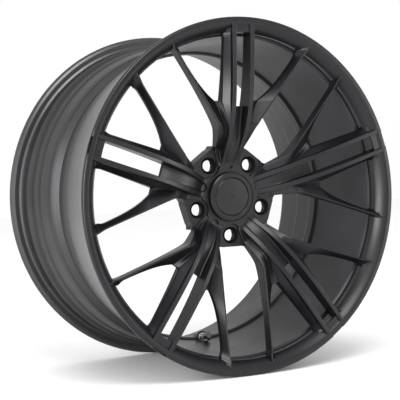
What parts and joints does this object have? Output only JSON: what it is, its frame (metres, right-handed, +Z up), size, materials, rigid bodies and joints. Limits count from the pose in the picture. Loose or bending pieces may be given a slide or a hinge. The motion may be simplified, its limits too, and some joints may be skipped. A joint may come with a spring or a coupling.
{
  "type": "forged racing wheel rim",
  "caption": "Deep-barrel forged wheel rim with twin-rail spokes that fork near the lip, notched outer lip, lug-bolt hub, snap-in centre cap and clamp-in tyre valve.",
  "frame": {"origin": "centre of the wheel: on the spin axis, midway between the two flanges' outer faces", "axes": "+Y along the spin axis, from the face to the open back; +Z up, along the first spoke; +X to the right seen from the face"},
  "size_m": [0.543, 0.3026, 0.543],
  "materials": {
    "face_paint": "satin black paint over forged aluminium",
    "barrel_paint": "satin dark grey paint over turned forged aluminium",
    "cap_black": "satin",
    "badge_black": "gloss",
    "spring_steel": "drawn wire",
    "valve_metal": "machined",
    "valve_cap_metal": "grey anodised",
    "brass": "machined",
    "rubber": "matt"
  },
  "bodies": {
    "wheel": {"barrel": "barrel_paint", "rear_flange": "barrel_paint", "outer_lip": "face_paint", "hub": "face_paint", "spoke_1": "face_paint", "spoke_2": "face_paint", "spoke_3": "face_paint", "spoke_4": "face_paint", "spoke_5": "face_paint", "lip_block_1": "face_paint", "lip_block_2": "face_paint", "lip_block_3": "face_paint", "lip_block_4": "face_paint", "lip_block_5": "face_paint", "rail_1_left": "face_paint", "rail_1_right": "face_paint", "rail_2_left": "face_paint", "rail_2_right": "face_paint", "rail_3_left": "face_paint", "rail_3_right": "face_paint", "rail_4_left": "face_paint", "rail_4_right": "face_paint", "rail_5_left": "face_paint", "rail_5_right": "face_paint", "branch_1_left": "face_paint", "branch_1_right": "face_paint", "branch_2_left": "face_paint", "branch_2_right": "face_paint", "branch_3_left": "face_paint", "branch_3_right": "face_paint", "branch_4_left": "face_paint", "branch_4_right": "face_paint", "branch_5_left": "face_paint", "branch_5_right": "face_paint", "valve_stem": "valve_metal", "valve_grommet": "rubber", "valve_washer": "valve_metal", "valve_nut": "valve_metal", "valve_core": "brass", "valve_core_spring": "spring_steel"},
    "centre_cap": {"cap_shell": "cap_black", "cap_badge": "badge_black", "cap_snap_ring": "spring_steel"},
    "valve_pin": {"valve_core_pin": "brass"},
    "valve_cap_slider": {"valve_cap_seal": "rubber"},
    "valve_cap": {"valve_cap": "valve_cap_metal"}
  },
  "joints": [
    {"name": "centre_cap_pull", "type": "slide", "parent": "wheel", "child": "centre_cap", "axis": [0, -1, 0], "range_m": [0, 0.03]},
    {"name": "valve_pin_press", "type": "slide", "parent": "wheel", "child": "valve_pin", "axis": [0, 0.9659, -0.2588], "range_m": [0, 0.001], "stiffness_N_per_m": 800, "springref_m": -0.001},
    {"name": "valve_cap_lift", "type": "slide", "parent": "wheel", "child": "valve_cap_slider", "axis": [0, -0.9659, 0.2588], "range_m": [0, 0.00476]},
    {"name": "valve_cap_turn", "type": "hinge", "parent": "valve_cap_slider", "child": "valve_cap", "pos_m": [0, -0.00196, -0.22841], "axis": [0, -0.9659, 0.2588], "range_deg": [0, 2160]}
  ]
}
